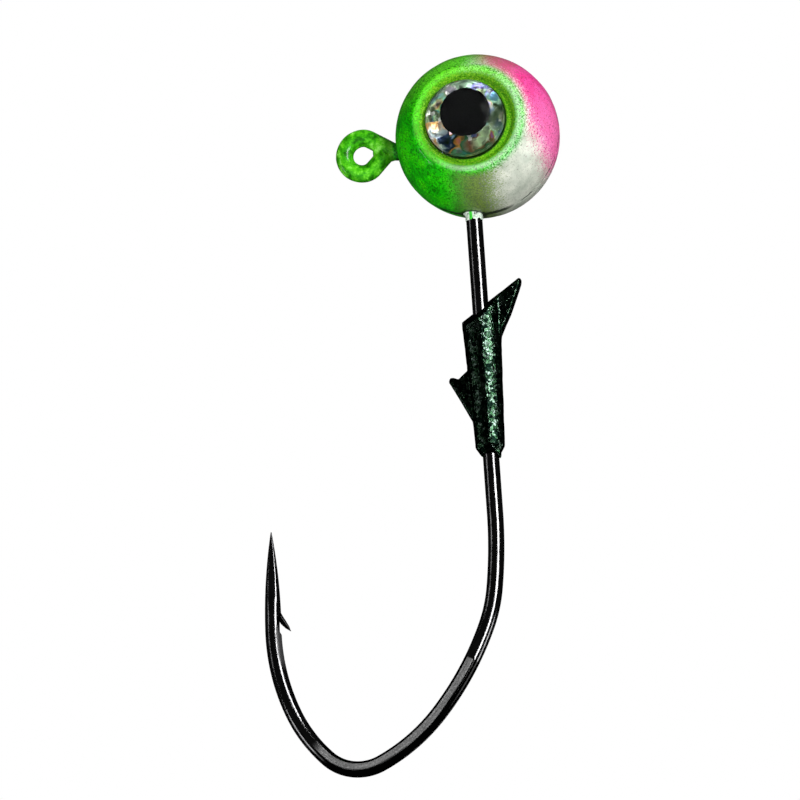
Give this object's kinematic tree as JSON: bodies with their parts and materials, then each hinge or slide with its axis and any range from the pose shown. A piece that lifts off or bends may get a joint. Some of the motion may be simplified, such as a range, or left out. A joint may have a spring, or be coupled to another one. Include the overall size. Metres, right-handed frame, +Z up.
{
  "type": "jig head",
  "caption": "Painted ball jig head: lead ball cast on a bent wire hook, domed eyes, side line tie, barbed point and a moulded bait keeper on the shank.",
  "frame": {"origin": "centre of the line-tie hole, in the plane of the hook", "axes": "+Z up the shank towards the head, +X from the line tie to the back of the ball, so the fish-ward nose and the hook point are on -X; +Y along the line-tie hole and the eyes' axis"},
  "size_m": [0.0212, 0.0098, 0.0472],
  "materials": {
    "hook_wire": "black nickel plated spring steel, polished",
    "cast_lead": "as-cast lead alloy, dull grey",
    "head_paint": "airbrushed green, pearl white and pink under a glossy clear coat",
    "keeper_resin": "near-black green with fine metallic flake, glossy",
    "eye_adhesive": "clear adhesive pad",
    "eye_foil": "silver holographic foil",
    "eye_pupil": "black printed ink",
    "eye_dome": "clear cast epoxy, glossy"
  },
  "bodies": {
    "root": {"hook": "hook_wire", "head_core": "cast_lead", "paint_coat": "head_paint", "bait_keeper": "keeper_resin", "eye_adhesive_left": "eye_adhesive", "eye_foil_left": "eye_foil", "eye_pupil_left": "eye_pupil", "eye_dome_left": "eye_dome", "eye_adhesive_right": "eye_adhesive", "eye_foil_right": "eye_foil", "eye_pupil_right": "eye_pupil", "eye_dome_right": "eye_dome"}
  },
  "joints": []
}
